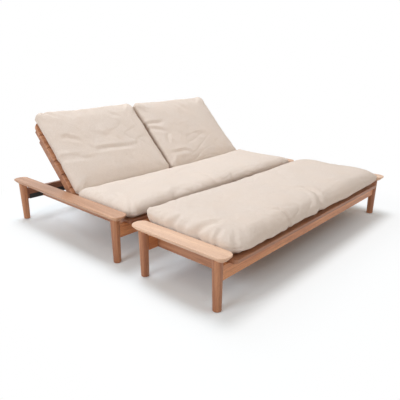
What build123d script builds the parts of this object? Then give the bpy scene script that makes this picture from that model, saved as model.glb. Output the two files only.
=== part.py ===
"""Double chaise lounger in teak: a lounge with two reclining backs and a matching foot bench.

Frame: origin on the floor under the middle of the whole object, +Z up, millimetres.
The foot bench stands in front (-Y), the lounge behind it (+Y), left is -X.
The backs are drawn flat and then raised about their hinges to the resting angle.
"""
from build123d import *
import os
from math import cos, radians

# Legs and end boards
leg_spacing = 2035.0
bench_leg_span = 572.0
lounge_leg_span = 1209.0
leg_top_diameter = 60.0
leg_foot_diameter = 50.0
leg_foot_round = 3.0
leg_tenon_diameter = 30.0
leg_tenon_height = 18.0
under_board_height = 300.0
board_width = 110.0
board_thickness = 33.0
board_edge_thickness = 8.0
board_undercut = 24.0
board_overhang = 75.0
board_corner_radius = 50.0
board_top_round = 3.0
board_reach = 50.0
unit_gap = 124.0
glide_diameter = 34.0
glide_thickness = 6.0
glide_proud = 1.5

# Rails, end rails and bearers
rail_top = 256.0
rail_depth = 90.0
rail_thickness = 30.0
rail_face_reach = 12.0
rail_edge_round = 6.0
rail_housing_reach = 12.0
bench_end_rail_setback = 95.0
lounge_end_rail_setback = 150.0
bearer_thickness = 28.0
bearer_depth = 70.0
bearer_edge_round = 3.0
bench_bearer_offset = 330.0
stiffener_height = 38.0
stiffener_thickness = 5.0
stiffener_end_gap = 35.0
stiffener_round = 1.5

# Deck slats
slat_thickness = 22.0
deck_slat_gap = 8.0
slat_edge_round = 4.0
slat_end_setback = 75.0
slat_corner_radius = 24.0
deck_front_reach = 60.0
bench_slat_count = 6
seat_slat_count = 5

# Backs, each on four battens, hinged on two of them
hinge_behind_front_leg = 566.0
hinge_drop = 20.0
back_rest_angle = 45.0
back_notch_angles = (15.0, 30.0, 45.0)
back_panel_gap = 20.0
back_slat_count = 6
back_slat_gap = 5.0
back_top_overhang = 103.0
back_slat_start = 13.0
back_top_corner_radius = 58.0
seat_to_hinge = 36.0
flat_clearance = 0.3
batten_thickness = 25.0
batten_depth = 40.0
batten_tail_depth = 20.0
batten_end_margin = 14.0
outer_batten_side_margin = 1.0
batten_bearer_clearance = 2.0
outer_batten_end_margin = 62.0
rail_notch_side = 2.0
rail_notch_below = 2.0

# Props that hold the backs up
prop_rail_gap = 25.0
prop_arm_thickness = 18.0
prop_arm_depth = 30.0
prop_bar_diameter = 16.0
prop_bar_clearance = 0.5
rack_notch_drop = 3.0
rack_notch_diameter = 17.0
rack_step_length = 40.0
bearer_offset = 80.0
side_clearance = 1.0

# Pins, dowels and screws
hinge_pin_diameter = 10.0
hinge_collar_diameter = 24.0
hinge_head_diameter = 18.0
pin_head_thickness = 4.0
pin_end_proud = 2.0
prop_pin_diameter = 8.0
prop_pin_head_diameter = 15.0
running_clearance = 0.05
face_clearance = 0.3
dowel_diameter = 10.0
dowel_length = 50.0
dowel_in_leg = 20.0
dowel_edge_margin = 25.0
dowel_over_stiffener = 12.0
dowel_spacing = 24.0
screw_diameter = 5.0
screw_head_diameter = 9.0
screw_head_height = 3.0
screw_length = 45.0

# Cushions
cushion_clearance = 0.3
bench_cushion_thickness = 150.0
bench_cushion_front_overhang = 15.0
bench_cushion_rear_overhang = 16.0
seat_cushion_thickness = 116.0
seat_cushion_front_overhang = 14.0
seat_cushion_rear_overhang = 2.0
seat_cushion_end_gap = 4.0
back_cushion_thickness = 100.0
back_cushion_start = 48.0
back_cushion_top_overhang = 46.0
back_cushion_gap = 22.5
back_cushion_shift = 8.0
pad_end_round = 95.0
pad_end_taper = 50.0

# Cross sections of a cushion near an end: how far in from the end against the end round,
# how high against the full thickness, and how far in the sides are against the end taper
pad_place_shares = (0.0, 0.08, 0.25, 0.55, 1.0)
pad_height_shares = (0.50, 0.74, 0.89, 0.96, 0.99)
pad_inset_shares = (0.90, 0.45, 0.18, 0.04, 0.0)
pad_draw_in_share = 0.15
pad_foot_share = 0.28
pad_bulge_share = 0.40
pad_edge_share = 0.78
pad_shoulder_share = 0.34

overrun = 5.0

# Places worked out from the sizes above
leg_x = leg_spacing / 2
total_length = bench_leg_span + lounge_leg_span + 4 * board_overhang + unit_gap
bench_front_leg_y = -total_length / 2 + board_overhang
bench_rear_leg_y = bench_front_leg_y + bench_leg_span
lounge_front_leg_y = bench_rear_leg_y + 2 * board_overhang + unit_gap
lounge_rear_leg_y = lounge_front_leg_y + lounge_leg_span
deck_top = rail_top + slat_thickness
rail_bottom = rail_top - rail_depth
rail_inner_reach = rail_thickness - rail_face_reach
slat_half_length = leg_x - slat_end_setback
board_inner_x = leg_x + board_reach - board_width
hinge_y = lounge_front_leg_y + hinge_behind_front_leg
hinge_height = rail_top - hinge_drop
prop_length = (lounge_rear_leg_y - rail_inner_reach - prop_rail_gap - hinge_y) / 2
batten_deep_length = 2 * prop_length
seat_deck_rear_y = hinge_y - seat_to_hinge
back_length = lounge_rear_leg_y + back_top_overhang - hinge_y - back_slat_start
batten_top = hinge_drop + flat_clearance
back_slat_top = batten_top + slat_thickness
panel_half_width = (slat_half_length - back_panel_gap / 2) / 2
panel_centre_x = back_panel_gap / 2 + panel_half_width
back_cushion_width = 2 * panel_centre_x - back_cushion_gap
back_cushion_end = back_slat_start + back_length + back_cushion_top_overhang
back_cushion_length = back_cushion_end - back_cushion_start
arm_offset = bearer_offset + bearer_thickness + side_clearance
inner_batten_offset = arm_offset + prop_arm_thickness + side_clearance
outer_batten_offset = panel_half_width - outer_batten_side_margin - batten_thickness
middle_batten_side = panel_centre_x - bearer_thickness / 2 - batten_bearer_clearance
middle_batten_offset = middle_batten_side - batten_thickness
rack_top = hinge_height - prop_bar_diameter / 2 - prop_bar_clearance
hinge_axis = Axis((0, hinge_y, hinge_height), (1, 0, 0))
prop_axis = Axis((0, hinge_y + prop_length, hinge_height), (1, 0, 0))

nodes = {}


def block(x_range, y_range, z_range):
    """A square block between two limits on each axis."""
    low = Vector(x_range[0], y_range[0], z_range[0])
    high = Vector(x_range[1], y_range[1], z_range[1])
    size = high - low
    return Pos(*((low + high) / 2)) * Box(size.X, size.Y, size.Z)


def plank(x_range, y_range, z_range, along, radius):
    """A block whose long edges, those along the named axis, are rounded."""
    solid = block(x_range, y_range, z_range)
    return fillet(solid.edges().filter_by(along), radius)


def rod(radius, start, end, y, z):
    """A round rod along X from start to end."""
    length = end - start
    return Pos((start + end) / 2, y, z) * Rot(0, 90, 0) * Cylinder(radius, length)


def rod_along_y(radius, start, end, x, z):
    """A round rod along Y from start to end."""
    return Pos(x, (start + end) / 2, z) * Rot(90, 0, 0) * Cylinder(radius, end - start)


def mirrored_range(centre, near, far, side):
    """Limits on X of a piece that lies from near to far outside a centre line."""
    return tuple(sorted((centre + side * near, centre + side * far)))


def raised(solid):
    """Turn a piece of a back from flat to its resting angle."""
    return solid.rotate(hinge_axis, back_rest_angle)


def raised_prop(solid):
    """Fold a piece of a prop down from its flat place, then raise it with its back."""
    return raised(solid.rotate(prop_axis, -2 * back_rest_angle))


def make_rail(leg_y, outward):
    """Long rail along X, with its outer face just outside the leg axes."""
    half = leg_x - rail_housing_reach
    y_range = sorted((leg_y + outward * rail_face_reach, leg_y - outward * rail_inner_reach))
    return plank((-half, half), y_range, (rail_bottom, rail_top), Axis.X, rail_edge_round)


def make_leg(x, y):
    """Tapered round leg with a tenon for the end board and a recess for its glide."""
    outline = Polyline(
        (0, glide_thickness),
        (glide_diameter / 2, glide_thickness),
        (glide_diameter / 2, glide_proud),
        (leg_foot_diameter / 2 - leg_foot_round, glide_proud),
        (leg_foot_diameter / 2, glide_proud + leg_foot_round),
        (leg_top_diameter / 2, under_board_height),
        (leg_tenon_diameter / 2, under_board_height),
        (leg_tenon_diameter / 2, under_board_height + leg_tenon_height),
        (0, under_board_height + leg_tenon_height),
        (0, glide_thickness),
    )
    face = make_face(Plane.XZ * outline)
    return Pos(x, y, 0) * revolve(face, Axis.Z)


def make_glide(x, y):
    """Round nylon glide let into a foot."""
    disc = Cylinder(glide_diameter / 2, glide_thickness)
    return Pos(x, y, glide_thickness / 2) * disc


def make_end_board(side, front_leg_y, rear_leg_y):
    """End board with round ends, undercut all round, bored for the leg tenons."""
    length = rear_leg_y - front_leg_y + 2 * board_overhang
    centre_x = side * (leg_x + board_reach - board_width / 2)
    centre_y = (front_leg_y + rear_leg_y) / 2
    outline = RectangleRounded(board_width, length, board_corner_radius)
    board = extrude(outline, board_thickness)
    bottom_edges = board.edges().group_by(Axis.Z)[0]
    board = chamfer(bottom_edges, board_thickness - board_edge_thickness, board_undercut)
    board = fillet(board.edges().group_by(Axis.Z)[-1], board_top_round)
    board = Pos(centre_x, centre_y, under_board_height) * board
    for leg_y in (front_leg_y, rear_leg_y):
        radius = leg_tenon_diameter / 2 + running_clearance
        socket = Cylinder(radius, 2 * (leg_tenon_height + running_clearance))
        board -= Pos(side * leg_x, leg_y, under_board_height) * socket
    return board


def slat_rows(start, end, count, gap):
    """Limits on Y of equal slats that share a deck with even gaps."""
    width = (end - start - (count - 1) * gap) / count
    fronts = [start + i * (width + gap) for i in range(count)]
    return [(front, front + width) for front in fronts]


def make_slat(x_range, y_range, z_bottom, near_radius, far_radius):
    """Slat along X with eased edges; a radius rounds its front or rear corners in plan."""
    solid = block(x_range, y_range, (z_bottom, z_bottom + slat_thickness))
    uprights = solid.edges().filter_by(Axis.Z).group_by(Axis.Y)
    if near_radius > 0:
        solid = fillet(uprights[0], near_radius)
    uprights = solid.edges().filter_by(Axis.Z).group_by(Axis.Y)
    if far_radius > 0:
        solid = fillet(uprights[-1], far_radius)
    top_and_bottom = solid.edges().group_by(Axis.Z)
    return fillet(top_and_bottom[0] + top_and_bottom[-1], slat_edge_round)


def make_deck(front_y, rear_y, count):
    """Deck of slats on top of the rails, its front and rear corners rounded."""
    x_range = (-slat_half_length, slat_half_length)
    slats = []
    for i, y_range in enumerate(slat_rows(front_y, rear_y, count, deck_slat_gap)):
        front_radius = slat_corner_radius if i == 0 else 0
        rear_radius = slat_corner_radius if i == count - 1 else 0
        slats.append(make_slat(x_range, y_range, rail_top, front_radius, rear_radius))
    return slats


def make_screw(x, y):
    """Countersunk deck screw, its head level with the top of the slats."""
    shank_top = deck_top - screw_head_height
    shank_low = deck_top - screw_length
    shank = Pos(x, y, (shank_low + shank_top) / 2) * Cylinder(screw_diameter / 2, shank_top - shank_low)
    head = Pos(x, y, deck_top - screw_head_height / 2)
    head *= Cone(screw_diameter / 2, screw_head_diameter / 2, screw_head_height)
    return shank + head


def section_of_pad(x, y_range, bottom, height, inset):
    """Cross section of a cushion at x: flat foot, bulging sides and a crown."""
    front = y_range[0] + inset
    rear = y_range[1] - inset
    middle = (front + rear) / 2
    foot = pad_foot_share * height
    shoulder = pad_shoulder_share * height
    bulge_z = bottom + pad_bulge_share * height
    edge_z = bottom + pad_edge_share * height
    foot_front = (x, front + foot, bottom)
    foot_rear = (x, rear - foot, bottom)
    edge_front = (x, front + shoulder, edge_z)
    edge_rear = (x, rear - shoulder, edge_z)
    outline = [
        Line(foot_front, foot_rear),
        ThreePointArc(foot_rear, (x, rear, bulge_z), edge_rear),
        ThreePointArc(edge_rear, (x, middle, bottom + height), edge_front),
        ThreePointArc(edge_front, (x, front, bulge_z), foot_front),
    ]
    return make_face(Wire(outline))


def make_pad(x_range, y_range, bottom, thickness):
    """Crowned cushion along X that thins towards both ends, its sides drawn in between."""
    near_end = []
    for place, height, inset in zip(pad_place_shares, pad_height_shares, pad_inset_shares):
        near_end.append((place * pad_end_round, height * thickness, inset * pad_end_taper))
    middle = ((x_range[1] - x_range[0]) / 2, thickness, pad_draw_in_share * pad_end_taper)
    sections = []
    for place, height, inset in near_end + [middle]:
        sections.append(section_of_pad(x_range[0] + place, y_range, bottom, height, inset))
    for place, height, inset in reversed(near_end):
        sections.append(section_of_pad(x_range[1] - place, y_range, bottom, height, inset))
    return loft(sections, ruled=True)


class Unit:
    """One free-standing frame: legs, end boards, rails, cross pieces and deck."""

    def __init__(self, name, front_leg_y, rear_leg_y, deck_rear_y, slat_count, end_rail_setback):
        self.name = name
        self.leg_rows = {"front": front_leg_y, "rear": rear_leg_y}
        self.outward = {"front": -1, "rear": 1}
        self.cross_front_y = front_leg_y + rail_inner_reach
        self.cross_rear_y = rear_leg_y - rail_inner_reach
        self.deck_front_y = front_leg_y - deck_front_reach
        self.deck_rear_y = deck_rear_y
        self.slat_count = slat_count
        self.end_rail_setback = end_rail_setback
        self.pieces = {}
        self.dowels = []

    def add_frame(self):
        """Rails between the legs, legs let in round them, and end boards on top."""
        for row, leg_y in self.leg_rows.items():
            rail = make_rail(leg_y, self.outward[row])
            self.pieces["rail_" + row] = rail
            for side_name, side in (("left", -1), ("right", 1)):
                leg = make_leg(side * leg_x, leg_y) - rail
                self.pieces["leg_" + row + "_" + side_name] = leg
        for side_name, side in (("left", -1), ("right", 1)):
            board = make_end_board(side, self.leg_rows["front"], self.leg_rows["rear"])
            self.pieces["end_board_" + side_name] = board

    def add_cross_piece(self, name, x_range, depth, edge_round):
        """Piece along Y between the rails, its top level with theirs."""
        y_range = (self.cross_front_y, self.cross_rear_y)
        z_range = (rail_top - depth, rail_top)
        self.pieces[name] = plank(x_range, y_range, z_range, Axis.Y, edge_round)

    def add_end_rails(self):
        """End rails set in from the legs, as deep as the long rails."""
        for side_name, side in (("left", -1), ("right", 1)):
            outer = leg_x - self.end_rail_setback
            x_range = mirrored_range(0, outer - rail_thickness, outer, side)
            self.add_cross_piece("end_rail_" + side_name, x_range, rail_depth, rail_edge_round)

    def add_dowels_to_legs(self):
        """Two dowels in each joint between a long rail and a leg."""
        for row, leg_y in self.leg_rows.items():
            y = leg_y - self.outward[row] * (rail_thickness / 2 - rail_face_reach)
            for side_name, side in (("left", -1), ("right", 1)):
                outer = leg_x - rail_housing_reach + dowel_in_leg
                x_range = mirrored_range(0, outer - dowel_length, outer, side)
                pair = ("rail_" + row, "leg_" + row + "_" + side_name)
                for z in (rail_bottom + dowel_edge_margin, rail_top - dowel_edge_margin):
                    self.add_dowel(rod, x_range, y, z, pair)

    def add_dowels_to_rails(self, names, heights):
        """Dowels between the ends of cross pieces and the long rails."""
        for name in names:
            x = self.pieces[name].center().X
            for row, face_y in (("front", self.cross_front_y), ("rear", self.cross_rear_y)):
                into = self.outward[row] * dowel_in_leg
                y_range = sorted((face_y + into, face_y + into - self.outward[row] * dowel_length))
                for z in heights:
                    self.add_dowel(rod_along_y, y_range, x, z, ("rail_" + row, name))

    def add_dowel(self, shape, limits, place, z, pair):
        """One dowel and its bores in the two pieces that it joins."""
        start, end = limits
        self.dowels.append(shape(dowel_diameter / 2, start, end, place, z))
        bore_radius = dowel_diameter / 2 + running_clearance
        bore = shape(bore_radius, start - running_clearance, end + running_clearance, place, z)
        for name in pair:
            self.pieces[name] -= bore

    def add_deck(self, supports):
        """Slats, and a screw where each slat crosses a support."""
        rows = slat_rows(self.deck_front_y, self.deck_rear_y, self.slat_count, deck_slat_gap)
        slats = make_deck(self.deck_front_y, self.deck_rear_y, self.slat_count)
        screws = []
        for name in supports:
            x = self.pieces[name].center().X
            row_screws = []
            for start, end in rows:
                y = (start + end) / 2
                if self.cross_front_y < y < self.cross_rear_y:
                    row_screws.append(make_screw(x, y))
            self.pieces[name] -= row_screws
            slats = [slat - row_screws for slat in slats]
            screws += row_screws
        self.pieces["slats"] = Compound(children=slats)
        self.pieces["deck_screws"] = Compound(children=screws)

    def add_glides(self):
        """One glide under each foot."""
        places = [(side * leg_x, leg_y) for side in (-1, 1) for leg_y in self.leg_rows.values()]
        self.pieces["glides"] = Compound(children=[make_glide(x, y) for x, y in places])

    def store(self):
        """Put the finished pieces among the nodes, each under its unit's name."""
        self.pieces["dowels"] = Compound(children=self.dowels)
        for name, solid in self.pieces.items():
            nodes[self.name + "_" + name] = solid


def make_bench():
    """Foot bench: six slats over two bearers and one long cushion."""
    deck_rear_y = bench_rear_leg_y + deck_front_reach
    unit = Unit("bench", bench_front_leg_y, bench_rear_leg_y, deck_rear_y,
                bench_slat_count, bench_end_rail_setback)
    unit.add_frame()
    unit.add_end_rails()
    bearers = []
    for side_name, side in (("left", -1), ("right", 1)):
        near = bench_bearer_offset - bearer_thickness / 2
        x_range = mirrored_range(0, near, near + bearer_thickness, side)
        unit.add_cross_piece("bearer_" + side_name, x_range, bearer_depth, bearer_edge_round)
        bearers.append("bearer_" + side_name)
    end_rails = ["end_rail_left", "end_rail_right"]
    unit.add_dowels_to_legs()
    unit.add_dowels_to_rails(end_rails, (rail_bottom + dowel_edge_margin, rail_top - dowel_edge_margin))
    unit.add_dowels_to_rails(bearers, (rail_top - bearer_depth / 2,))
    unit.add_deck(end_rails + bearers)
    unit.add_glides()
    y_range = (unit.deck_front_y - bench_cushion_front_overhang, deck_rear_y + bench_cushion_rear_overhang)
    reach = board_inner_x - seat_cushion_end_gap
    pad = make_pad((-reach, reach), y_range, deck_top + cushion_clearance, bench_cushion_thickness)
    unit.pieces["cushion"] = pad
    unit.store()


def cut_rack(bearer, x_range):
    """Lower the rear of a bearer to carry a prop bar, with a notch for each angle."""
    step_y = hinge_y + rack_step_length
    rear_y = lounge_rear_leg_y
    bearer -= block(x_range, (step_y, rear_y), (rack_top, rail_top + overrun))
    for angle in back_notch_angles:
        foot_y = hinge_y + 2 * prop_length * cos(radians(angle))
        radius = rack_notch_diameter / 2
        bearer -= rod(radius, x_range[0], x_range[1], foot_y, hinge_height - rack_notch_drop)
    return bearer


def cut_batten_notches(rail):
    """Notches in the top of the rear rail where the backs' battens lie when flat."""
    for panel_side in (-1, 1):
        for side in (-1, 1):
            end_offset = outer_batten_offset if side == panel_side else middle_batten_offset
            for offset in (inner_batten_offset, end_offset):
                near = offset - rail_notch_side
                far = offset + batten_thickness + rail_notch_side
                x_range = mirrored_range(panel_side * panel_centre_x, near, far, side)
                y_range = (lounge_rear_leg_y - rail_inner_reach - overrun,
                           lounge_rear_leg_y + rail_face_reach + overrun)
                low = hinge_height + batten_top - batten_tail_depth - rail_notch_below
                rail -= block(x_range, y_range, (low, rail_top + overrun))
    return rail


def make_hinge_pin(centre, side):
    """Shouldered steel pin: through a bearer, a collar as a spacer, then through a batten."""
    start = bearer_offset - pin_end_proud
    collar_start = bearer_offset + bearer_thickness
    collar_end = inner_batten_offset - face_clearance
    head_start = inner_batten_offset + batten_thickness + face_clearance
    lengths = [
        (hinge_pin_diameter / 2, start, head_start),
        (hinge_collar_diameter / 2, collar_start, collar_end),
        (hinge_head_diameter / 2, head_start, head_start + pin_head_thickness),
    ]
    pin = None
    for radius, near, far in lengths:
        x_range = mirrored_range(centre, near, far, side)
        piece = rod(radius, x_range[0], x_range[1], hinge_y, hinge_height)
        pin = piece if pin is None else pin + piece
    return pin


def add_stiffener(unit, cross_pieces):
    """Flat steel bar along the inner foot of the rear rail, the cross pieces cut round it."""
    half = leg_x - stiffener_end_gap
    inner_y = lounge_rear_leg_y - rail_inner_reach
    y_range = (inner_y - stiffener_thickness, inner_y)
    z_range = (rail_bottom, rail_bottom + stiffener_height)
    unit.pieces["rear_stiffener"] = plank((-half, half), y_range, z_range, Axis.X, stiffener_round)
    room = block((-half, half),
                 (y_range[0] - face_clearance, inner_y + overrun),
                 (rail_bottom - overrun, z_range[1] + face_clearance))
    for name in cross_pieces:
        unit.pieces[name] -= room


def make_lounge():
    """Lounge frame: seat deck in front, open frame with racks under the backs."""
    unit = Unit("lounge", lounge_front_leg_y, lounge_rear_leg_y, seat_deck_rear_y,
                seat_slat_count, lounge_end_rail_setback)
    unit.add_frame()
    unit.add_end_rails()
    half = bearer_thickness / 2
    unit.add_cross_piece("bearer_centre", (-half, half), bearer_depth, bearer_edge_round)
    bearers = ["bearer_centre"]
    hinge_pins = []
    for panel_name, panel_side in (("left", -1), ("right", 1)):
        for place_name, side in (("outer", panel_side), ("inner", -panel_side)):
            centre = panel_side * panel_centre_x
            x_range = mirrored_range(centre, bearer_offset, bearer_offset + bearer_thickness, side)
            name = "rack_" + panel_name + "_" + place_name
            unit.add_cross_piece(name, x_range, bearer_depth, bearer_edge_round)
            rack = cut_rack(unit.pieces[name], x_range)
            pin_bore = hinge_pin_diameter / 2 + running_clearance
            rack -= rod(pin_bore, x_range[0], x_range[1], hinge_y, hinge_height)
            unit.pieces[name] = rack
            hinge_pins.append(make_hinge_pin(centre, side))
            bearers.append(name)
    unit.pieces["rail_rear"] = cut_batten_notches(unit.pieces["rail_rear"])
    end_rails = ["end_rail_left", "end_rail_right"]
    dowel_z = rail_bottom + stiffener_height + dowel_over_stiffener
    unit.add_dowels_to_legs()
    unit.add_dowels_to_rails(end_rails, (dowel_z, dowel_z + dowel_spacing))
    unit.add_dowels_to_rails(bearers, (dowel_z,))
    unit.add_deck(end_rails + bearers)
    unit.add_glides()
    unit.pieces["hinge_pins"] = Compound(children=hinge_pins)
    add_stiffener(unit, end_rails + bearers)
    y_range = (unit.deck_front_y - seat_cushion_front_overhang,
               seat_deck_rear_y + seat_cushion_rear_overhang)
    reach = board_inner_x - seat_cushion_end_gap
    pad = make_pad((-reach, reach), y_range, deck_top + cushion_clearance, seat_cushion_thickness)
    unit.pieces["cushion"] = pad
    unit.store()


def make_batten(centre, near, side, hinged):
    """Batten under a back: deep to its middle, shallow where it crosses the rear rail."""
    x_range = mirrored_range(centre, near, near + batten_thickness, side)
    start = hinge_y - batten_depth / 2
    deep_end = hinge_y + batten_deep_length
    end_margin = batten_end_margin if hinged else outer_batten_end_margin
    tail_end = hinge_y + back_slat_start + back_length - end_margin
    top = hinge_height + batten_top
    deep_start = hinge_y if hinged else hinge_y + back_slat_start + batten_end_margin
    batten = block(x_range, (deep_start, deep_end), (hinge_height - batten_depth / 2, top))
    tail = block(x_range, (deep_end - overrun, tail_end), (top - batten_tail_depth, top))
    batten += tail
    if hinged:
        eye = rod(batten_depth / 2, x_range[0], x_range[1], hinge_y, hinge_height)
        heel = block(x_range, (start, hinge_y), (hinge_height - batten_depth / 2, hinge_height))
        batten += eye
        batten -= heel - eye
        for pin_radius, y in ((hinge_pin_diameter / 2, hinge_y),
                              (prop_pin_diameter / 2, hinge_y + prop_length)):
            bore = pin_radius + running_clearance
            batten -= rod(bore, x_range[0], x_range[1], y, hinge_height)
    return batten


def make_prop_arm(centre, side):
    """Round-ended arm from its pivot on a batten to the bar."""
    x_range = mirrored_range(centre, arm_offset, arm_offset + prop_arm_thickness, side)
    pivot_y = hinge_y + prop_length
    foot_y = pivot_y + prop_length
    half = prop_arm_depth / 2
    arm = block(x_range, (pivot_y, foot_y), (hinge_height - half, hinge_height + half))
    for y in (pivot_y, foot_y):
        arm += rod(half, x_range[0], x_range[1], y, hinge_height)
    for radius, y in ((prop_pin_diameter / 2, pivot_y), (prop_bar_diameter / 2, foot_y)):
        arm -= rod(radius + running_clearance, x_range[0], x_range[1], y, hinge_height)
    return arm


def make_prop_pin(centre, side):
    """Headed steel pin through a batten and a prop arm."""
    pivot_y = hinge_y + prop_length
    head_start = inner_batten_offset + batten_thickness
    x_range = mirrored_range(centre, arm_offset, head_start, side)
    head_range = mirrored_range(centre, head_start, head_start + pin_head_thickness, side)
    pin = rod(prop_pin_diameter / 2, x_range[0], x_range[1], pivot_y, hinge_height)
    return pin + rod(prop_pin_head_diameter / 2, head_range[0], head_range[1], pivot_y, hinge_height)


def make_back(panel_name, panel_side):
    """One reclining back: slats, battens, cushion and the prop that holds it up."""
    centre = panel_side * panel_centre_x
    name = "back_" + panel_name + "_"
    x_range = (centre - panel_half_width, centre + panel_half_width)
    start = hinge_y + back_slat_start
    slats = []
    rows = slat_rows(start, start + back_length, back_slat_count, back_slat_gap)
    for i, y_range in enumerate(rows):
        near_radius = slat_corner_radius if i == 0 else 0
        far_radius = back_top_corner_radius if i == back_slat_count - 1 else 0
        slat = make_slat(x_range, y_range, hinge_height + batten_top, near_radius, far_radius)
        slats.append(raised(slat))
    nodes[name + "slats"] = Compound(children=slats)
    for place_name, side, end_offset in (("outer", panel_side, outer_batten_offset),
                                         ("inner", -panel_side, middle_batten_offset)):
        hinged = make_batten(centre, inner_batten_offset, side, True)
        nodes[name + "hinge_batten_" + place_name] = raised(hinged)
        plain = make_batten(centre, end_offset, side, False)
        nodes[name + "batten_" + place_name] = raised(plain)
        nodes["prop_" + panel_name + "_arm_" + place_name] = raised_prop(make_prop_arm(centre, side))
    pins = [raised(make_prop_pin(centre, side)) for side in (-1, 1)]
    nodes[name + "prop_pins"] = Compound(children=pins)
    bar_reach = arm_offset + prop_arm_thickness
    bar = rod(prop_bar_diameter / 2, centre - bar_reach, centre + bar_reach,
              hinge_y + 2 * prop_length, hinge_height)
    nodes["prop_" + panel_name + "_bar"] = raised_prop(bar)
    pad_x = centre + back_cushion_shift
    pad_y = hinge_y + back_cushion_start
    pad_bottom = hinge_height + back_slat_top + cushion_clearance
    pad = make_pad((pad_x - back_cushion_width / 2, pad_x + back_cushion_width / 2),
                   (pad_y, pad_y + back_cushion_length), pad_bottom, back_cushion_thickness)
    nodes[name + "cushion"] = raised(pad)


def write_nodes():
    """Write each node to its own file."""
    os.makedirs("parts", exist_ok=True)
    for name, solid in nodes.items():
        export_step(solid, "parts/" + name + ".step")


make_bench()
make_lounge()
make_back("left", -1)
make_back("right", 1)
write_nodes()
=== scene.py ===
"""Looks of a double chaise lounger: oiled teak frames, stuffed linen cushions and black steel.

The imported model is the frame. Metres, +Z up, the foot bench in front at -Y, the backs at +Y.
Run as a script; the operators are also listed in a panel of the 3D view's sidebar.
"""

from math import cos, pi, radians, sin

import bpy
import numpy as np
from bpy.props import FloatProperty, FloatVectorProperty, IntProperty, PointerProperty
from mathutils import Matrix, Vector


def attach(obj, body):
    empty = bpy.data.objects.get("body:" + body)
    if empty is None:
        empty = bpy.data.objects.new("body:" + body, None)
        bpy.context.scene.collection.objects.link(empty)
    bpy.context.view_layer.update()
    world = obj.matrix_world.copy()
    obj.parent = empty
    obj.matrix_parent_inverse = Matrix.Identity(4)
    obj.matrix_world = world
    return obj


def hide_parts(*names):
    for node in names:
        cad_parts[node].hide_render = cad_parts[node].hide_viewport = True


bl_info = {
    "name": "Double Chaise Lounger",
    "version": (1, 0, 0),
    "blender": (4, 5, 0),
    "location": "View3D > Sidebar > Lounger",
    "description": "Dresses the double chaise lounger in teak, linen and steel",
    "category": "Object",
}

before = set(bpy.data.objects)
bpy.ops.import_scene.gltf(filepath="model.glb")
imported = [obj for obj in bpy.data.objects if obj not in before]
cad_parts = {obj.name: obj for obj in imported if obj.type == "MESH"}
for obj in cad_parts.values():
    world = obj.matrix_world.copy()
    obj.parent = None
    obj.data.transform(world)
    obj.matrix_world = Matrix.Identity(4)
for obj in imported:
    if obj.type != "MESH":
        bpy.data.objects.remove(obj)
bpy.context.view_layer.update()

# The line that the backs turn on, their angle at rest, and half the whole's width and depth
HINGE_Y = 0.3845
HINGE_Z = 0.236
BACK_ANGLE = radians(45)
FOOTPRINT = (1.0675, 1.1025)

# The studio; a lamp is its name, place, aim, size in metres and power in watts
FLOOR_SIZE = 60
SEEN_FLOOR = (0.93, 0.99, 1)
ROOM_COLOUR = (1.0, 0.90, 0.81, 1)
ROOM_STRENGTH = 0.50
WHITE = (1, 1, 1, 1)
LAMP_COLOUR = (0.90, 0.98, 1.08)
LAMPS = (
    ("key", (0.3, 2.0, 4.6), (0.0, 0.0, 0.3), 3.2, 156),
    ("front", (0.3, -2.6, 4.2), (0.0, -0.4, 0.3), 2.6, 30),
    ("side", (-4.6, -0.4, 2.2), (0.0, 0.0, 0.3), 1.8, 66),
)
CAMERA_PLACE = (-2.5404, -2.2864, 1.2694)
CAMERA_AIM = (0.70346, 0.63713, -0.31498)
CAMERA_LENS = 38.8
SENSOR_WIDTH = 36.0
CAMERA_REACH = 100.0

# Widths of wood that share one tone: a slat with its gap, and any wider board
SLAT_PITCH = 0.1221
BOARD_PITCH = 0.4

# The weave, and the wavelengths and height of the covers' unevenness
YARNS_PER_METRE = 420
BROAD_LUMP = 0.42
SMALL_LUMP = 0.13
WRINKLE = 0.2
LUMP_HEIGHT = 0.004

# Heights above a cover's foot: held while it is stuffed, unpressed by creases, free for folds
FOOT_HELD = 0.004
FOOT_UNPRESSED = 0.012
FOOT_FREE = 0.03

# A cover's form: how far its sides draw in, how far a corner's sinking reaches, the power of its
# corners in plan, the least height of its crown, and a factor on the depth of all creases
DRAW_IN = 0.007
CORNER_REACH = 0.14
CORNER_POWER = 5
LEAST_CROWN = 0.02
CREASE_DEPTH = 0.78

# Settings of the cloth simulation
CLOTH = {
    "quality": 3,
    "mass": 0.3,
    "tension_stiffness": 8,
    "compression_stiffness": 8,
    "shear_stiffness": 3,
    "bending_stiffness": 0.2,
    "use_pressure": True,
}

finishes = {}


class LoungerSizes(bpy.types.PropertyGroup):
    """Sizes a user would change."""

    voxel: FloatProperty(
        name="Cloth mesh size", description="Edge length of the mesh that the cloth is stuffed with",
        default=0.011, min=0.004, max=0.03, unit="LENGTH")
    stuffing: FloatProperty(
        name="Stuffing pressure", description="Pressure inside the covers while they are blown up",
        default=4.0, min=0.0, max=10.0)
    swell: FloatProperty(
        name="Swell limit",
        description="Furthest that a point of a cover may move while it is blown up",
        default=0.016, min=0.0, max=0.05, unit="LENGTH")
    frames: IntProperty(
        name="Cloth steps", description="Frames of the cloth simulation", default=20, min=2, max=60)
    ease: FloatProperty(
        name="Start gap", description="How much smaller than the finished cushion its cover starts",
        default=0.008, min=0.0, max=0.05, unit="LENGTH")


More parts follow.
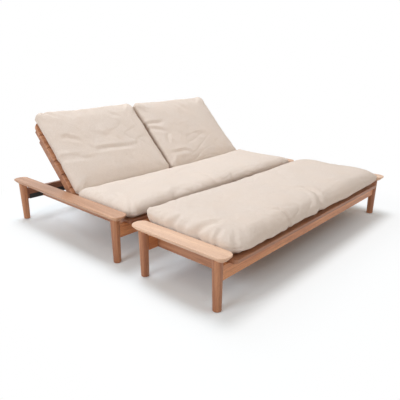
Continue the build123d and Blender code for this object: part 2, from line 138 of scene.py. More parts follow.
class LoungerColours(bpy.types.PropertyGroup):
    """Colours a user would change."""

    teak_dark: FloatVectorProperty(
        name="Teak, dark grain", description="Colour of the dark streaks", subtype="COLOR",
        default=(0.36, 0.145, 0.065), min=0, max=1)
    teak_light: FloatVectorProperty(
        name="Teak, light grain", description="Colour between the streaks", subtype="COLOR",
        default=(0.69, 0.36, 0.19), min=0, max=1)
    linen: FloatVectorProperty(
        name="Linen", description="Colour of the cushion covers", subtype="COLOR",
        default=(0.80, 0.70, 0.615), min=0, max=1)
    linen_shade: FloatVectorProperty(
        name="Linen, between yarns", description="Colour between the yarns of the covers",
        subtype="COLOR", default=(0.66, 0.56, 0.475), min=0, max=1)
    black_steel: FloatVectorProperty(
        name="Black steel", description="Colour of the powder coat", subtype="COLOR",
        default=(0.018, 0.017, 0.017), min=0, max=1)
    bare_steel: FloatVectorProperty(
        name="Bare steel", description="Colour of pins and screws", subtype="COLOR",
        default=(0.55, 0.54, 0.52), min=0, max=1)
    nylon: FloatVectorProperty(
        name="Nylon", description="Colour of the glides", subtype="COLOR",
        default=(0.05, 0.05, 0.05), min=0, max=1)
    beech: FloatVectorProperty(
        name="Beech", description="Colour of the dowels", subtype="COLOR",
        default=(0.62, 0.43, 0.26), min=0, max=1)
    floor: FloatVectorProperty(
        name="Floor", description="Colour of the floor", subtype="COLOR",
        default=(0.88, 0.87, 0.86), min=0, max=1)


class Field:
    """A value or vector in a material's node tree; arithmetic on it adds the nodes."""

    def __init__(self, nodes, socket):
        self.nodes = nodes
        self.socket = socket

    def maths(self, operation, *values):
        return self.nodes.node(
            "ShaderNodeMath", {"operation": operation}, dict(enumerate(values)))

    def __add__(self, other):
        return self.maths("ADD", self, other)

    def __radd__(self, other):
        return self.maths("ADD", other, self)

    def __sub__(self, other):
        return self.maths("SUBTRACT", self, other)

    def __rsub__(self, other):
        return self.maths("SUBTRACT", other, self)

    def __mul__(self, other):
        return self.maths("MULTIPLY", self, other)

    def __rmul__(self, other):
        return self.maths("MULTIPLY", other, self)

    def __truediv__(self, other):
        return self.maths("DIVIDE", self, other)

    def __pow__(self, other):
        return self.maths("POWER", self, other)

    def sine(self):
        return self.maths("SINE", self)

    def floor(self):
        return self.maths("FLOOR", self)

    def size(self):
        return self.maths("ABSOLUTE", self)

    def most(self, other):
        return self.maths("MAXIMUM", self, other)

    def step(self, low, high):
        """Rise smoothly from 0 at low to 1 at high."""
        return self.nodes.node(
            "ShaderNodeMapRange", {"interpolation_type": "SMOOTHSTEP"},
            {"Value": self, "From Min": low, "From Max": high})


class Nodes:
    """The node tree of a material or the world, built up from fields."""

    def __init__(self, owner):
        owner.use_nodes = True
        self.tree = owner.node_tree

    def node(self, kind, settings, inputs, output=0):
        """Add a node, its settings first, and return the field of one output."""
        node = self.tree.nodes.new(kind)
        for key, value in settings.items():
            setattr(node, key, value)
        for key, value in inputs.items():
            self.plug(node.inputs[key], value)
        return Field(self, node.outputs[output])

    def plug(self, socket, value):
        if isinstance(value, Field):
            self.tree.links.new(value.socket, socket)
        else:
            socket.default_value = value

    def seen(self):
        """Where a ray comes straight from the camera or off metal or glass."""
        rays = [self.node("ShaderNodeLightPath", {}, {}, "Is %s Ray" % kind)
                for kind in ("Camera", "Glossy", "Transmission")]
        return rays[0].most(rays[1]).most(rays[2])

    def split(self, vector):
        return [self.node("ShaderNodeSeparateXYZ", {}, {0: vector}, i) for i in range(3)]

    def join(self, x, y, z):
        return self.node("ShaderNodeCombineXYZ", {}, {0: x, 1: y, 2: z})


class Finish(Nodes):
    """A material that is set on pieces by name."""

    def __init__(self, name):
        self.material = bpy.data.materials.new(name)
        super().__init__(self.material)
        self.shader = self.tree.nodes["Principled BSDF"]

    def set(self, **inputs):
        """Set or link sockets of the surface shader; underscores stand for spaces."""
        for key, value in inputs.items():
            self.plug(self.shader.inputs[key.replace("_", " ")], value)

    def place(self, scale, turn=(0, 0, 0)):
        """Object coordinates, turned, then scaled along each axis."""
        coordinates = self.node("ShaderNodeTexCoord", {}, {}, "Object")
        turned = self.node("ShaderNodeVectorRotate", {"rotation_type": "EULER_XYZ"},
                           {"Vector": coordinates, "Rotation": turn})
        return self.node("ShaderNodeVectorMath", {"operation": "MULTIPLY"}, {0: turned, 1: scale})

    def noise(self, vector, scale, detail=3.0, roughness=0.5):
        inputs = {"Vector": vector, "Scale": scale, "Detail": detail, "Roughness": roughness}
        return self.node("ShaderNodeTexNoise", {}, inputs, "Fac")

    def blend(self, share, first, second):
        """Mix two colours by a field."""
        first, second = [colour if isinstance(colour, Field) else (*colour, 1.0)
                         for colour in (first, second)]
        return self.node("ShaderNodeMix", {"data_type": "RGBA"}, {0: share, 6: first, 7: second}, 2)

    def bump(self, height, strength, distance):
        inputs = {"Height": height, "Strength": strength, "Distance": distance}
        return self.node("ShaderNodeBump", {}, inputs, "Normal")

    def paint(self, piece):
        """Put the finish on every slot of a piece."""
        if not piece.material_slots:
            piece.data.materials.append(self.material)
        for slot in piece.material_slots:
            slot.material = self.material


def teak(name, turn, pitch, tone, painted_sheen_calm=0.0):
    """Oiled teak whose grain runs along X once turned; each band one pitch wide has its own shade.

    tone is a factor on both colours and, on several pieces, stands for painted light or shade; the last
    argument brings the dark lines nearer to the light ones, a painted sheen that washes out the grain."""
    colours = bpy.context.scene.lounger_colours
    wood = Finish(name)
    metres = wood.place((1, 1, 1), turn)
    along, across, up = wood.split(metres)
    board = wood.node("ShaderNodeTexWhiteNoise", {"noise_dimensions": "1D"},
                      {"W": (across / pitch).floor()}, "Value")
    drift = wood.noise(wood.join(along * 0.9, across * 3.0, up * 3.0 + board * 7.0), 1.0, 2.0)
    stretched = wood.join(along * 0.8 + board * 5.0, across * 22.0 + drift * 5.0, up * 22.0)
    figure = wood.noise(stretched, 1.0, 5.0, 0.55)
    lines = wood.noise(wood.join(along * 3.0, across * 160.0 + drift * 20.0, up * 160.0), 1.0, 3.0, 0.6)
    pores = wood.noise(wood.join(along * 30.0, across * 900.0, up * 900.0), 1.0, 1.0)
    shade = (figure - 0.5) * 1.5 + (lines - 0.5) * 0.9 + (board - 0.5) * 0.28 + 0.52
    deep, light = [tuple(min(c * t, 0.88) for c, t in zip(colour, tone))
                   for colour in (colours.teak_dark, colours.teak_light)]
    deep = tuple(d + (l - d) * painted_sheen_calm for d, l in zip(deep, light))
    base = wood.blend(shade.step(0.05, 0.95), deep, light)
    pore_mask = pores.step(0.60, 0.72)
    dark = tuple(c * 0.5 for c in deep)
    wood.set(Base_Color=wood.blend(pore_mask * 0.55, base, dark),
             Roughness=0.42 + (lines - 0.5) * 0.25 + pore_mask * 0.15,
             Normal=wood.bump(lines * 0.7 - pore_mask * 0.8 + figure * 0.5, 0.35, 0.0006),
             Coat_Weight=0.12, Coat_Roughness=0.35)
    return wood


def linen():
    """Woven cloth: warp and weft yarns with slubs, soft blotches, fine puckers and a little fuzz."""
    colours = bpy.context.scene.lounger_colours
    cloth = Finish("linen cover")
    along, across, up = cloth.split(cloth.place((1, 1, 1)))
    slope = across * cos(BACK_ANGLE) + up * sin(BACK_ANGLE)
    waver = cloth.noise(cloth.place((1, 1, 1)), 26.0, 2.0)
    turns = 2 * pi * YARNS_PER_METRE
    warp = (along * turns + waver * 5.0).sine()
    weft = (slope * turns + waver * 5.0).sine()
    slub = cloth.noise(cloth.place((40.0, 900.0, 900.0)), 1.0, 2.0)
    slub_across = cloth.noise(cloth.place((900.0, 40.0, 40.0)), 1.0, 2.0)
    weave = warp * weft * 0.5 + 0.5
    yarn = (weave * 0.5 + slub * 0.35 + slub_across * 0.35).step(0.15, 0.95)
    cloud = cloth.noise(cloth.place((1, 1, 1)), 5.0, 3.0)
    mottle = cloth.noise(cloth.place((1, 1, 1)), 70.0, 3.0, 0.7)
    pucker = cloth.noise(cloth.place((1, 1, 1)), 22.0, 2.0)
    tone = cloth.blend(yarn, tuple(colours.linen_shade), tuple(colours.linen))
    warm = tuple(c * f for c, f in zip(colours.linen, (0.96, 0.91, 0.86)))
    deep = tuple(c * f for c, f in zip(colours.linen, (0.86, 0.82, 0.78)))
    tone = cloth.blend(mottle.step(0.38, 0.66) * 0.35, tone, deep)
    cloth.set(Base_Color=cloth.blend(cloud.step(0.35, 0.75) * 0.35, tone, warm),
              Roughness=0.93, Specular_IOR_Level=0.25,
              Normal=cloth.bump(yarn * 0.0008 + mottle * 0.003 + pucker * 0.006, 0.6, 1.0),
              Sheen_Weight=0.12, Sheen_Roughness=0.5)
    return cloth


def plain(name, colour, roughness, metallic, grit):
    """Pins, screws, powder coat, nylon and dowels: a fine mottle over one colour."""
    finish = Finish(name)
    speckle = finish.noise(finish.place((1, 1, 1)), grit, 3.0)
    worn = finish.noise(finish.place((1, 1, 1)), 38.0, 4.0).step(0.52, 0.75)
    pale = tuple(min(1.0, c * 1.6 + 0.01) for c in colour)
    finish.set(Base_Color=finish.blend(worn * 0.35, colour, pale), Metallic=metallic,
               Roughness=roughness + (speckle - 0.5) * 0.2,
               Normal=finish.bump(speckle, 0.15, 0.0003))
    return finish


def named(*parts):
    """CAD pieces whose names hold one of these words and aren't cushions."""
    return [piece for name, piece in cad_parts.items()
            if "cushion" not in name and any(part in name for part in parts)]


def report_done(operator, text):
    operator.report({"INFO"}, text)
    return {"FINISHED"}


class LOUNGER_OT_stage(bpy.types.Operator):
    """Lay the floor, hang the lamps and set up the camera"""

    bl_idname = "lounger.stage"
    bl_label = "Stage"

    def execute(self, context):
        scene = context.scene
        bpy.ops.object.select_all(action="DESELECT")
        bpy.ops.mesh.primitive_plane_add(size=FLOOR_SIZE, location=(0, 0, 0))
        floor = context.object
        floor.name = "studio_floor"
        sweep = Finish("studio floor")
        seen = sweep.seen()
        x, y, _ = sweep.split(sweep.place((1, 1, 1)))
        beyond_x = (x.size() - FOOTPRINT[0]).most(0.0)
        beyond_y = (y.size() - FOOTPRINT[1]).most(0.0)
        gap = (beyond_x * beyond_x + beyond_y * beyond_y) ** 0.5
        # For camera rays the floor glows white by this share, from none at the footprint's edge to all
        # of it 0.8 m out: painted light that fades the cast shadow into the white backdrop.
        painted_light_share = gap.step(-0.01, 0.15) * 0.82 + gap.step(0.2, 0.8) * 0.18
        colour = sweep.blend(seen, tuple(scene.lounger_colours.floor), SEEN_FLOOR)
        sweep.set(Base_Color=colour, Roughness=1.0, Specular_IOR_Level=0.0)
        white = sweep.node("ShaderNodeEmission", {}, {"Strength": 1.0})
        lit = Field(sweep, sweep.shader.outputs[0])
        mixed = sweep.node("ShaderNodeMixShader", {}, {0: seen * painted_light_share, 1: lit, 2: white})
        sweep.plug(sweep.tree.nodes["Material Output"].inputs[0], mixed)
        sweep.paint(floor)
        scene.world = bpy.data.worlds.new("studio")
        room = Nodes(scene.world)
        soft = room.node("ShaderNodeBackground", {}, {"Color": ROOM_COLOUR, "Strength": ROOM_STRENGTH})
        pale = room.node("ShaderNodeBackground", {}, {"Color": WHITE, "Strength": 1.0})
        mixed = room.node("ShaderNodeMixShader", {}, {0: room.seen(), 1: soft, 2: pale})
        room.plug(room.tree.nodes["World Output"].inputs[0], mixed)
        for name, place, aim, size, power in LAMPS:
            bpy.ops.object.light_add(type="AREA", location=place)
            lamp = context.object
            lamp.name = name + "_lamp"
            lamp.data.size = size
            lamp.data.energy = power
            lamp.data.color = LAMP_COLOUR
            lamp.rotation_euler = (Vector(aim) - Vector(place)).to_track_quat("-Z", "Y").to_euler()
        bpy.ops.object.camera_add(location=CAMERA_PLACE)
        camera = context.object
        camera.name = "photo_camera"
        camera.rotation_euler = Vector(CAMERA_AIM).to_track_quat("-Z", "Y").to_euler()
        camera.data.lens = CAMERA_LENS
        camera.data.sensor_width = SENSOR_WIDTH
        camera.data.clip_end = CAMERA_REACH
        scene.camera = camera
        scene.view_settings.view_transform = "Standard"
        return report_done(self, "Stage set")


class LOUNGER_OT_teak(bpy.types.Operator):
    """Oil the legs, boards, rails, slats and props"""

    bl_idname = "lounger.teak"
    bl_label = "Teak"

    def execute(self, context):
        quarter = pi / 2
        along_x = (0, 0, 0)
        along_y = (0, 0, quarter)
        upright = (0, quarter, 0)
        up_the_back = (quarter - BACK_ANGLE, 0, quarter)
        for name, turn, pitch, tone, painted_sheen_calm, words in (
                # The front rails get a lighter, oranger copy of the teak: painted light standing for
                # their lit front faces.
                ("rail", along_x, BOARD_PITCH, (1.34, 1.17, 0.95), 0.0,
                 ("rail_front", "bench_rail_rear")),
                # The lounge's back rail, bars and prop arms get a far darker copy of the teak: painted
                # shade, as they sit in the shadow under the backs.
                ("rear rail in painted shade", along_x, BOARD_PITCH, (0.42, 0.36, 0.36), 0.0,
                 ("lounge_rail_rear", "_bar", "arm_")),
                # The deck slats get a darker copy of the teak: painted shade under the overhanging
                # cushions.
                ("slat", along_x, SLAT_PITCH, (0.66, 0.58, 0.56), 0.0, ("slats",)),
                # The backs' slats get a darker copy of the teak: painted shade on the slat ends beside
                # the back cushions.
                ("back slat in painted shade", along_x, SLAT_PITCH, (0.86, 0.80, 0.78), 0.0,
                 ("back_left_slats", "back_right_slats")),
                # End rails, bearers and racks get a darker copy of the teak: painted shade under the
                # overhanging boards.
                ("end rail in painted shade", along_y, BOARD_PITCH, (0.84, 0.78, 0.76), 0.0,
                 ("end_rail", "bearer", "rack")),
                # The end boards get lighter, paler copies of the teak with calmer grain: a painted
                # sheen on their tops, stronger on the bench than on the lounge.
                ("bench board with painted sheen", along_y, BOARD_PITCH, (1.24, 1.62, 2.10), 0.45, ("bench_end_board",)),
                ("lounge board with painted sheen", along_y, BOARD_PITCH, (1.00, 1.14, 1.30), 0.2, ("lounge_end_board",)),
                ("leg", upright, BOARD_PITCH, (0.84, 0.75, 0.68), 0.0, ("_leg_",)),
                ("batten", up_the_back, BOARD_PITCH, (0.78, 0.72, 0.70), 0.0, ("batten",))):
            finish = teak("teak " + name, turn, pitch, tone, painted_sheen_calm)
            for piece in named(*words):
                finish.paint(piece)
        return report_done(self, "Teak oiled")


class LOUNGER_OT_fittings(bpy.types.Operator):
    """Finish the steel bar, pins, screws, dowels and glides"""

    bl_idname = "lounger.fittings"
    bl_label = "Fittings"

    def execute(self, context):
        colours = context.scene.lounger_colours
        for name, colour, roughness, metallic, grit, words in (
                ("black powder coat", colours.black_steel, 0.45, 0.0, 900.0, ("stiffener",)),
                ("bare steel", colours.bare_steel, 0.34, 1.0, 400.0, ("pins", "screws")),
                ("beech", colours.beech, 0.6, 0.0, 300.0, ("dowels",)),
                ("nylon", colours.nylon, 0.5, 0.0, 500.0, ("glides",))):
            finish = plain(name, tuple(colour), roughness, metallic, grit)
            for piece in named(*words):
                finish.paint(piece)
        return report_done(self, "Fittings finished")


def use(piece):
    """Select one piece alone."""
    bpy.ops.object.select_all(action="DESELECT")
    piece.select_set(True)
    bpy.context.view_layer.objects.active = piece


def apply_modifier(piece, kind, **settings):
    use(piece)
    modifier = piece.modifiers.new(kind.title(), kind)
    for key, value in settings.items():
        setattr(modifier, key, value)
    bpy.ops.object.modifier_apply(modifier=modifier.name)


def read_points(piece, what="co"):
    values = np.empty(len(piece.data.vertices) * 3)
    piece.data.vertices.foreach_get(what, values)
    return values.reshape(-1, 3)


def write_points(piece, points):
    piece.data.vertices.foreach_set("co", points.ravel())
    piece.data.update()


def smooth_step(values, low, high):
    share = np.clip((values - low) / (high - low), 0, 1)
    return share * share * (3 - 2 * share)


def fit_box(piece, low, high):
    """Stretch a piece along each axis to fill a box."""
    points = read_points(piece)
    least, most = points.min(0), points.max(0)
    write_points(piece, low + (points - least) * (high - low) / (most - least))


def cover(name, low, high, form):
    """A closed cover: a block remeshed evenly, then rounded to the form of a stuffed cushion."""
    bpy.ops.object.select_all(action="DESELECT")
    bpy.ops.mesh.primitive_cube_add(size=1)
    piece = bpy.context.object
    piece.name = name
    middle, size = (low + high) / 2, high - low
    piece.data.transform(Matrix.Translation(middle) @ Matrix.Diagonal((*size, 1)))
    voxel = bpy.context.scene.lounger_sizes.voxel
    apply_modifier(piece, "REMESH", mode="VOXEL", voxel_size=voxel)
    fit_box(piece, low, high)
    write_points(piece, form.round_off(read_points(piece), low, high))
    return piece


def stuff(piece, sizes, low, high):
    """Blow up a cover with the cloth simulation; its foot is held and no point passes the limit."""
    fit_box(piece, low + sizes.ease * np.array((1, 1, 0)), high - sizes.ease * np.array((1, 1, 1)))
    start = read_points(piece)
    held = start[:, 2] < low[2] + FOOT_HELD
    group = piece.vertex_groups.new(name="foot")
    group.add([int(i) for i in np.flatnonzero(held)], 1.0, "ADD")
    modifier = piece.modifiers.new("Cloth", "CLOTH")
    cloth = modifier.settings
    for key, value in CLOTH.items():
        setattr(cloth, key, value)
    cloth.vertex_group_mass = group.name
    cloth.uniform_pressure_force = sizes.stuffing
    cloth.effector_weights.gravity = 0
    modifier.collision_settings.use_collision = False
    modifier.point_cache.frame_start = 1
    modifier.point_cache.frame_end = sizes.frames
    scene = bpy.context.scene
    for number in range(1, sizes.frames + 1):
        scene.frame_set(number)
    use(piece)
    bpy.ops.object.modifier_apply(modifier=modifier.name)
    scene.frame_set(1)
    move = read_points(piece) - start
    length = np.linalg.norm(move, axis=1)
    move *= np.minimum(1, sizes.swell / np.maximum(length, 1e-9))[:, None]
    end = start + move
    end[:, 2] = np.maximum(end[:, 2], low[2])
    write_points(piece, end)
    piece.vertex_groups.clear()


def lumps(points, seed, wavelength):
    """Smooth unevenness between about -1 and 1, the same on each run."""
    random = np.random.default_rng(seed)
    total = np.zeros(len(points))
    count = 14
    for _ in range(count):
        direction = random.normal(size=3)
        direction *= 2 * pi / wavelength * random.uniform(0.6, 1.4) / np.linalg.norm(direction)
        total += np.sin(points @ direction + random.uniform(0, 2 * pi))
    return total * 1.4 / count ** 0.5 / 2


def wrinkles(points, seed, wavelength):
    """A patchy net of fine folds, 0 on smooth cloth and 1 along a fold."""
    points = points * np.array((0.65, 1.35, 1.0))
    warp = np.column_stack([lumps(points, seed + i, wavelength * 2.5) for i in range(3)])
    net = 1 - np.abs(lumps(points + warp * wavelength * 0.35, seed + 5, wavelength))
    patch = smooth_step(lumps(points, seed + 6, wavelength * 3), -0.3, 0.7)
    return np.maximum(net, 0) ** 6 * patch


def press(points, normals, creases):
    """Press creases into the cover: a groove with a roll on one side, fading at its ends.

    Each crease is a line of points in plan, its width, its depth, and whether it runs over the edge."""
    plan = points[:, :2]
    for line, width, depth, open_start in creases:
        line = np.array(line)
        reach = 4.5 * width
        low, high = line.min(0) - reach, line.max(0) + reach
        near = np.flatnonzero(((plan > low) & (plan < high)).all(1))
        if not len(near):
            continue
        spot = plan[near]
        nearest = np.full(len(near), 1e9)
        share = np.zeros(len(near))
        side = np.zeros(len(near))
        lengths = np.linalg.norm(np.diff(line, axis=0), axis=1)
        ends = np.concatenate(([0], np.cumsum(lengths))) / lengths.sum()
        for i, (start, end) in enumerate(zip(line[:-1], line[1:])):
            run = end - start
            t = np.clip(((spot - start) @ run) / (run @ run), 0, 1)
            gap = spot - (start + t[:, None] * run)
            distance = np.linalg.norm(gap, axis=1)
            closer = distance < nearest
            nearest = np.where(closer, distance, nearest)
            share = np.where(closer, ends[i] + t * (ends[i + 1] - ends[i]), share)
            side = np.where(closer, np.sign(run[0] * gap[:, 1] - run[1] * gap[:, 0]), side)
        fade = smooth_step(1 - share, 0, 0.45)
        if not open_start:
            fade = fade * smooth_step(share, 0, 0.35)
        d = nearest / width
        groove = np.exp(-(d / 1.25) ** 2)
        roll = np.exp(-((d - 2.3) / 1.3) ** 2) * np.where(side > 0, 0.55, 0.25)
        points[near] += normals[near] * (CREASE_DEPTH * depth * fade * (roll - groove))[:, None]


class Form:
    """The form of a stuffed cushion, drawn flat.

    equator is the height of the widest line. A side is its rounding above and below that line, the
    share of height that the crown loses towards it, and how far in that starts. A corner is its
    rounding in plan and the share of height lost there: left and right at the front, then at the
    rear. A lift is a place in plan, its reach, and how far the widest line rises there. fullness is
    the power of the rounded section: 2 is an ellipse, and more is squarer."""

    def __init__(self, equator, sides, corners, lifts=(), fullness=2.3):
        self.equator = equator
        self.sides = sides
        self.corners = corners
        self.lifts = lifts
        self.fullness = fullness

    def round_off(self, points, low, high):
        """Move the points of a block onto the form."""
        middle, half = (low + high) / 2, (high - low) / 2
        plan = points[:, :2] - middle[:2]
        above = points[:, 2] - low[2] - self.equator
        upper = above > 0
        full = high[2] - low[2]
        level = np.where(upper, above / (full - self.equator), above / self.equator)
        quarter = (plan[:, 1] > 0) * 2 + (plan[:, 0] > 0)
        corner, sink = np.array(self.corners)[quarter].T
        corner = corner[:, None]
        drop = 1 - sink * np.exp(-(np.hypot(*(half[:2] - np.abs(plan)).T) / CORNER_REACH) ** 2)
        offset, core, radius = np.empty_like(plan), np.empty_like(plan), np.empty_like(plan)
        for axis, names in enumerate((("left", "right"), ("front", "rear"))):
            near, far = [self.sides[name] for name in names]
            near_round = np.where(upper, near[0], near[1])
            far_round = np.where(upper, far[0], far[1])
            lower = plan[:, axis] < 0
            radius[:, axis] = np.where(lower, near_round, far_round)
            core[:, axis] = np.clip(plan[:, axis], near_round - half[axis], half[axis] - far_round)
            offset[:, axis] = (plan[:, axis] - core[:, axis]) / radius[:, axis]
            inside = half[axis] - np.abs(plan[:, axis])
            share, reach = np.where(lower, near[2], far[2]), np.where(lower, near[3], far[3])
            drop *= 1 - share * (1 - np.clip(inside / reach, 0, 1)) ** 2
        rise = np.full(len(points), self.equator)
        for x, y, reach, height in self.lifts:
            gap = np.hypot(points[:, 0] - x, points[:, 1] - y)
            rise += height * np.exp(-(gap / reach) ** 2)
        power = self.fullness
        length = (np.hypot(*offset.T) ** power + np.abs(level) ** power) ** (1 / power)
        offset /= length[:, None]
        level /= length
        plan = core + offset * radius
        height = rise + level * np.where(upper, np.maximum(full * drop - rise, LEAST_CROWN), rise)
        arc = half[:2] - corner
        beyond = (np.abs(plan) - arc) / corner
        squeeze = (np.abs(beyond) ** CORNER_POWER).sum(1) ** (1 / CORNER_POWER) / np.hypot(*beyond.T)
        rounded = np.sign(plan) * (arc + beyond * squeeze[:, None] * corner)
        plan = np.where((beyond > 1e-6).all(1)[:, None], rounded, plan)
        for axis in (0, 1):
            along = plan[:, 1 - axis] / half[1 - axis]
            plan[:, axis] *= 1 - DRAW_IN / half[axis] * (1 - along ** 2)
        return np.column_stack((plan + middle[:2], low[2] + height))


def gathers(low, high, edge, spacing, reach, depth, seed):
    """Short creases that run in from one edge of a cover, unevenly spaced."""
    random = np.random.default_rng(seed)
    axis = 1 if edge in ("left", "right") else 0
    inward = 1 if edge in ("left", "front") else -1
    rim = (low if inward > 0 else high)[1 - axis]
    creases = []
    for place in np.arange(low[axis] + 0.05, high[axis] - 0.05, spacing):
        place += random.uniform(-0.35, 0.35) * spacing
        length = reach * random.uniform(0.5, 1.25)
        slant = random.uniform(-0.45, 0.45) * length
        bend = random.uniform(-0.2, 0.2) * length
        deep = depth * random.uniform(0.45, 1.1)
        line = []
        for t in (-0.15, 0.2, 0.6, 1.0):
            across = rim + inward * length * t
            beside = place + slant * t + bend * 4 * t * (1 - t)
            line.append((across, beside) if axis == 1 else (beside, across))
        creases.append((line, random.uniform(0.010, 0.017), deep, True))
    return creases


class Cushion:
    """One stuffed cushion: made flat in plan, then put back on its body."""

    def __init__(self, node, body, fill, raised):
        self.node = node
        self.body = body
        self.fill = fill
        hinge = Matrix.Translation((0, HINGE_Y, HINGE_Z))
        turned = hinge @ Matrix.Rotation(BACK_ANGLE, 4, "X") @ hinge.inverted()
        self.place = turned if raised else Matrix.Identity(4)

    def make(self, seed, form, creases, edges):
        """Build the cover, stuff it, crease it and lay it on its body.

        An edge of gathers is its name, their spacing, their reach and their depth."""
        sizes = bpy.context.scene.lounger_sizes
        flat = self.place.inverted()
        solid = np.array([flat @ vertex.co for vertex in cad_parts[self.node].data.vertices])
        low, high = solid.min(0), solid.max(0)
        piece = cover(self.node + "_cover", low, high, form)
        stuff(piece, sizes, low, high)
        fit_box(piece, low, high)
        apply_modifier(piece, "SUBSURF", levels=1, render_levels=1)
        points, normals = read_points(piece), read_points(piece, "normal")
        free = smooth_step(points[:, 2], low[2] + FOOT_HELD, low[2] + FOOT_FREE)
        uneven = lumps(points, seed, BROAD_LUMP) + lumps(points, seed + 1, SMALL_LUMP) * 0.35
        bump = uneven * LUMP_HEIGHT
        bump -= wrinkles(points, seed + 2, WRINKLE) * LUMP_HEIGHT * 0.9
        points += normals * (bump * free)[:, None]
        for edge, spacing, reach, depth in edges:
            creases = creases + gathers(low, high, edge, spacing, reach, depth, seed + len(edge) + 7)
        foot = points[:, 2].copy()
        press(points, normals, creases)
        points[:, 2] = np.where(foot < low[2] + FOOT_UNPRESSED, foot, points[:, 2])
        write_points(piece, points)
        fit_box(piece, low, high)
        piece.data.transform(self.place)
        piece.data.update()
        use(piece)
        bpy.ops.object.shade_smooth()
        finishes["linen"].paint(piece)
        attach(piece, self.body)
        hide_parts(self.node)


class LOUNGER_OT_linen(bpy.types.Operator):
    """Weave the linen of the cushion covers"""

    bl_idname = "lounger.linen"
    bl_label = "Linen"

    def execute(self, context):
        finishes["linen"] = linen()
        return report_done(self, "Linen woven")


class LOUNGER_OT_bench_cushion(bpy.types.Operator):
    """Stuff the long cushion of the foot bench"""

    bl_idname = "lounger.bench_cushion"
    bl_label = "Bench cushion"

    def execute(self, context):
        creases = [
            (((-0.96, -0.60), (-0.93, -0.64), (-0.88, -0.655)), 0.013, 0.010, True),
            (((-0.97, -0.78), (-0.93, -0.83), (-0.87, -0.885), (-0.80, -0.90)), 0.017, 0.014, True),
            (((-0.96, -0.96), (-0.93, -0.953), (-0.88, -0.95)), 0.013, 0.010, True),
            (((-0.88, -1.12), (-0.84, -1.06), (-0.80, -0.98)), 0.020, 0.005, True),
            (((-0.70, -1.12), (-0.66, -1.08), (-0.64, -1.02)), 0.018, 0.004, True),
            (((-0.46, -1.12), (-0.434, -1.09), (-0.433, -1.06), (-0.44, -1.02), (-0.50, -0.99)),
             0.014, 0.013, True),
            (((-0.08, -1.12), (-0.03, -1.08), (0.02, -1.01), (0.03, -0.92), (-0.04, -0.85)),
             0.020, 0.013, True),
            (((0.30, -0.96), (0.36, -0.98), (0.43, -0.995)), 0.016, 0.005, False),
        ]
        edges = (("left", 0.12, 0.08, 0.003), ("right", 0.14, 0.06, 0.002),
                 ("front", 0.20, 0.06, 0.0018), ("rear", 0.24, 0.05, 0.001))
        sides = {"left": (0.085, 0.110, 0.10, 0.22), "right": (0.085, 0.100, 0.24, 0.24),
                 "front": (0.085, 0.115, 0.14, 0.24), "rear": (0.070, 0.065, 0.06, 0.20)}
        lifts = ((-0.95, -0.38, 0.13, 0.060), (0.95, -0.38, 0.14, 0.03), (0.95, -1.10, 0.20, 0.02))
        form = Form(0.060, sides, ((0.12, 0.14), (0.09, 0.14), (0.045, 0.04), (0.06, 0.10)), lifts)
        Cushion("bench_cushion", "bench", 0.6, False).make(11, form, creases, edges)
        return report_done(self, "Bench cushion stuffed")


class LOUNGER_OT_seat_cushion(bpy.types.Operator):
    """Stuff the long seat cushion of the lounge"""

    bl_idname = "lounger.seat_cushion"
    bl_label = "Seat cushion"

    def execute(self, context):
        creases = [
            (((-0.55, -0.28), (-0.54, -0.24), (-0.48, -0.20), (-0.40, -0.19)), 0.022, 0.008, True),
            (((-0.09, -0.27), (-0.08, -0.21), (-0.07, -0.12), (-0.08, 0.0)), 0.024, 0.008, True),
            (((-0.96, -0.13), (-0.90, -0.10), (-0.85, 0.0), (-0.82, 0.09)), 0.018, 0.007, True),
            (((0.10, -0.27), (0.13, -0.22), (0.15, -0.16)), 0.018, 0.006, True),
        ]
        edges = (("left", 0.12, 0.07, 0.003), ("right", 0.14, 0.05, 0.002),
                 ("front", 0.22, 0.05, 0.0015))
        sides = {"left": (0.070, 0.090, 0.10, 0.18), "right": (0.030, 0.040, 0.0, 0.15),
                 "front": (0.060, 0.090, 0.09, 0.17), "rear": (0.055, 0.050, 0.06, 0.15)}
        form = Form(0.055, sides, ((0.08, 0.06), (0.02, 0.0), (0.05, 0.06), (0.03, 0.0)))
        Cushion("lounge_cushion", "lounge_frame", 0.6, False).make(23, form, creases, edges)
        return report_done(self, "Seat cushion stuffed")


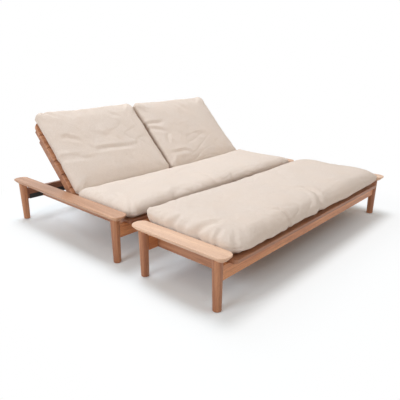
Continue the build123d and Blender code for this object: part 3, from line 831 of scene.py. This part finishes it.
class LOUNGER_OT_back_cushions(bpy.types.Operator):
    """Stuff the two back cushions"""

    bl_idname = "lounger.back_cushions"
    bl_label = "Back cushions"

    def execute(self, context):
        left = [
            (((-0.70, 0.785), (-0.62, 0.738), (-0.505, 0.737), (-0.30, 0.721), (-0.13, 0.735)),
             0.016, 0.010, False),
            (((-0.88, 0.90), (-0.80, 0.893), (-0.738, 0.857), (-0.68, 0.82)), 0.015, 0.008, False),
            (((-0.95, 0.745), (-0.88, 0.73), (-0.78, 0.715), (-0.706, 0.723)), 0.014, 0.008, True),
            (((-0.95, 0.72), (-0.88, 0.70), (-0.80, 0.69), (-0.62, 0.667)), 0.014, 0.007, True),
            (((-0.92, 1.19), (-0.868, 1.166), (-0.817, 1.111), (-0.747, 1.056)), 0.015, 0.009, True),
            (((-0.33, 1.10), (-0.29, 1.05), (-0.21, 1.02)), 0.016, 0.006, False),
            (((-0.60, 0.90), (-0.48, 0.86), (-0.33, 0.87)), 0.022, 0.004, False),
        ]
        right = [
            (((0.0, 0.93), (0.06, 0.915), (0.14, 0.905), (0.24, 0.91)), 0.015, 0.009, True),
            (((0.0, 0.89), (0.06, 0.863), (0.14, 0.82), (0.21, 0.794)), 0.015, 0.008, True),
            (((0.21, 0.80), (0.15, 0.74), (0.137, 0.70), (0.149, 0.64)), 0.015, 0.006, False),
            (((0.05, 0.58), (0.124, 0.57), (0.258, 0.565), (0.37, 0.516)), 0.015, 0.008, False),
            (((0.50, 1.13), (0.53, 1.095), (0.604, 0.998)), 0.018, 0.006, False),
            (((0.45, 0.735), (0.57, 0.70), (0.70, 0.70)), 0.018, 0.004, False),
        ]
        edges = (("left", 0.13, 0.06, 0.002), ("right", 0.14, 0.05, 0.0015),
                 ("front", 0.16, 0.05, 0.001), ("rear", 0.16, 0.05, 0.0015))
        sides = {"left": (0.042, 0.050, 0.03, 0.14), "right": (0.042, 0.050, 0.03, 0.14),
                 "front": (0.060, 0.045, 0.08, 0.15), "rear": (0.040, 0.042, 0.0, 0.15)}
        corners = ((0.05, 0.04), (0.05, 0.04), (0.060, 0.0), (0.070, 0.0))
        form = Form(0.050, sides, corners, (), 2.8)
        for seed, side, creases in ((37, "left", left), (52, "right", right)):
            cushion = Cushion("back_" + side + "_cushion", "back_" + side, 0.55, True)
            cushion.make(seed, form, creases, edges)
        return report_done(self, "Back cushions stuffed")


class LOUNGER_PT_panel(bpy.types.Panel):
    """Steps and settings of the lounger"""

    bl_idname = "LOUNGER_PT_panel"
    bl_label = "Double Chaise Lounger"
    bl_space_type = "VIEW_3D"
    bl_region_type = "UI"
    bl_category = "Lounger"

    def draw(self, context):
        layout = self.layout
        for step in STEPS:
            layout.operator(step.bl_idname)
        for group in (context.scene.lounger_sizes, context.scene.lounger_colours):
            box = layout.box()
            for name in group.__annotations__:
                box.prop(group, name)


STEPS = (
    LOUNGER_OT_stage,
    LOUNGER_OT_teak,
    LOUNGER_OT_fittings,
    LOUNGER_OT_linen,
    LOUNGER_OT_bench_cushion,
    LOUNGER_OT_seat_cushion,
    LOUNGER_OT_back_cushions,
)
CLASSES = (LoungerSizes, LoungerColours, *STEPS, LOUNGER_PT_panel)


def register():
    for item in CLASSES:
        bpy.utils.register_class(item)
    bpy.types.Scene.lounger_sizes = PointerProperty(type=LoungerSizes)
    bpy.types.Scene.lounger_colours = PointerProperty(type=LoungerColours)


def unregister():
    del bpy.types.Scene.lounger_colours
    del bpy.types.Scene.lounger_sizes
    for item in reversed(CLASSES):
        bpy.utils.unregister_class(item)


def main():
    register()
    bpy.ops.lounger.stage()
    bpy.ops.lounger.teak()
    bpy.ops.lounger.fittings()
    bpy.ops.lounger.linen()
    bpy.ops.lounger.bench_cushion()
    bpy.ops.lounger.seat_cushion()
    bpy.ops.lounger.back_cushions()


if __name__ == "__main__":
    main()
